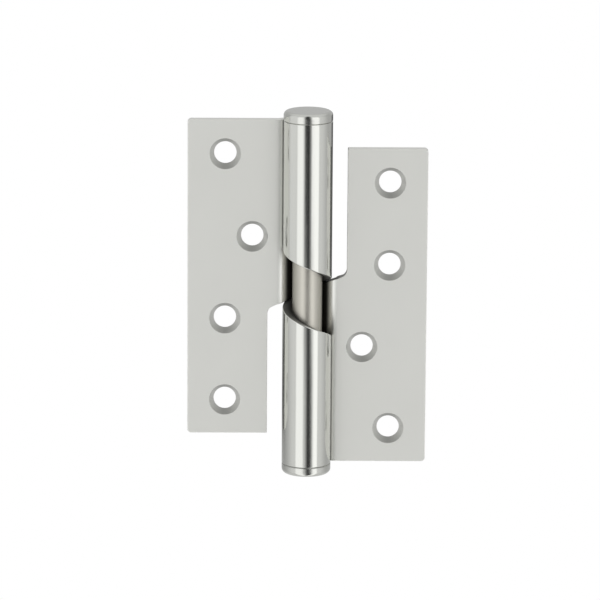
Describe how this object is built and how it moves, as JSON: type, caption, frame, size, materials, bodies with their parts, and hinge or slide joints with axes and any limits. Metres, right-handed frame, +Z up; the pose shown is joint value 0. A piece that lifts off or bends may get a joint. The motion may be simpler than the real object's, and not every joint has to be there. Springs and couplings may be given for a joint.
{
  "type": "rising butt hinge",
  "caption": "Rising butt hinge in satin steel: leaves rolled round a pin, their knuckles meeting on a helical ramp that lifts the door as it opens.",
  "frame": {"origin": "on the pin's axis, half way up the hinge as it lies open", "axes": "+Z up along the pin, +X to the frame leaf's side, -Y to the countersunk side"},
  "size_m": [0.076, 0.0156, 0.1176],
  "materials": {
    "leaf_steel": "satin leaves, polished knuckles",
    "pin_steel": "turned",
    "cap_steel": "polished"
  },
  "bodies": {
    "frame_leaf": {"frame_leaf": "leaf_steel", "frame_leaf_cap": "cap_steel"},
    "pin": {"pin": "pin_steel"},
    "door_leaf": {"door_leaf": "leaf_steel", "door_leaf_cap": "cap_steel"}
  },
  "joints": [
    {"name": "swing", "type": "hinge", "parent": "frame_leaf", "child": "pin", "pos_m": [0, 0, 0], "axis": [0, 0, 1], "range_deg": [0, 180]},
    {"name": "rise", "type": "slide", "parent": "pin", "child": "door_leaf", "axis": [0, 0, 1], "range_m": [-0.00925, 0]}
  ],
  "couplings": [
    {"joint": "rise", "follows": "swing", "m_per_rad": -0.0029444}
  ]
}
